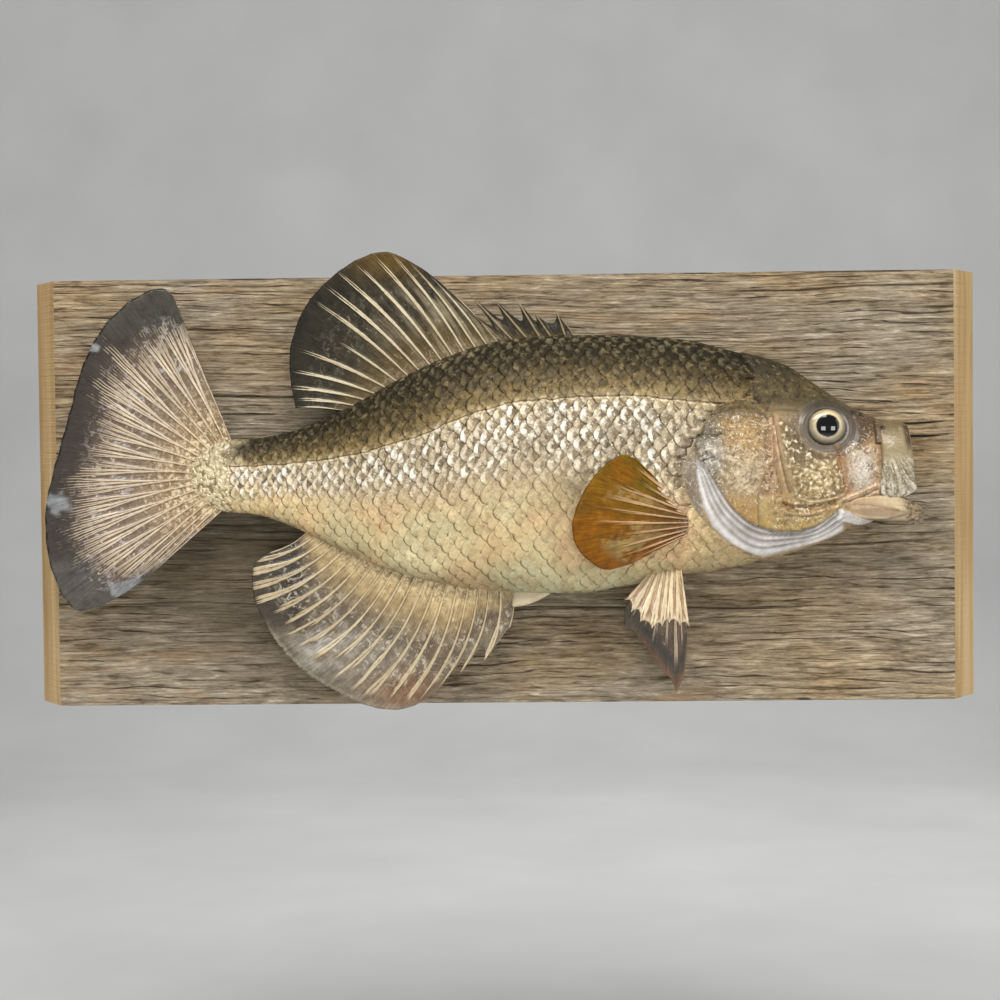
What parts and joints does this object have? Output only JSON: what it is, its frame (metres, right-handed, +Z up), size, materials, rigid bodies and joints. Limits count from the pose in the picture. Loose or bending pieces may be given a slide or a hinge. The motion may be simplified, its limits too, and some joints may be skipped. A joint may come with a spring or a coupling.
{
  "type": "mounted trophy fish on a board",
  "caption": "Life-size skin-mounted white crappie with open mouth and spread fins on a weathered rectangular wall board with bevelled ends.",
  "frame": {"origin": "centre of the board's flat back face, where it meets the wall", "axes": "+X towards the fish's head along the board, +Y into the wall, +Z up"},
  "size_m": [0.41, 0.0686, 0.192],
  "materials": {
    "weathered_wood": "bare grey-brown weathered board with dark drying cracks and fresh ochre bevels",
    "hanger_steel": "zinc-plated steel",
    "fish_skin": "dried scaled skin under clear varnish, olive back and cream-gold flank",
    "head_skin": "dried smooth skin over the skull, satin varnish",
    "bony_plate": "gold-cream skin over thin bone, glossy varnish",
    "gill_membrane": "pale folded membrane, satin",
    "jaw_membrane": "thin dried skin over the jaw bones, glossy varnish",
    "fin_film": "thin dried fin film with cream rays, varnished",
    "amber_fin": "thin amber fin film with cream rays, varnished",
    "glass_eye": "polished taxidermy eye, black pupil in a cream and silver ring"
  },
  "bodies": {
    "root": {"board": "weathered_wood", "hanger": "hanger_steel", "screw_head_side": "hanger_steel", "screw_tail_side": "hanger_steel", "head": "head_skin", "gill_cover_near": "bony_plate", "gill_cover_far": "bony_plate", "cheek_near": "bony_plate", "cheek_far": "bony_plate", "eye_near": "glass_eye", "eye_far": "glass_eye", "throat": "gill_membrane", "lower_jaw": "jaw_membrane", "upper_jaw": "jaw_membrane", "maxilla_near": "jaw_membrane", "maxilla_far": "jaw_membrane", "trunk": "fish_skin", "tail_base": "fish_skin", "spiny_dorsal_fin": "fin_film", "soft_dorsal_fin": "fin_film", "tail_fin": "fin_film", "anal_fin": "fin_film", "pectoral_fin": "amber_fin", "pelvic_fin_near": "fin_film", "pelvic_fin_far": "fin_film", "vent_flap": "gill_membrane"}
  },
  "joints": []
}
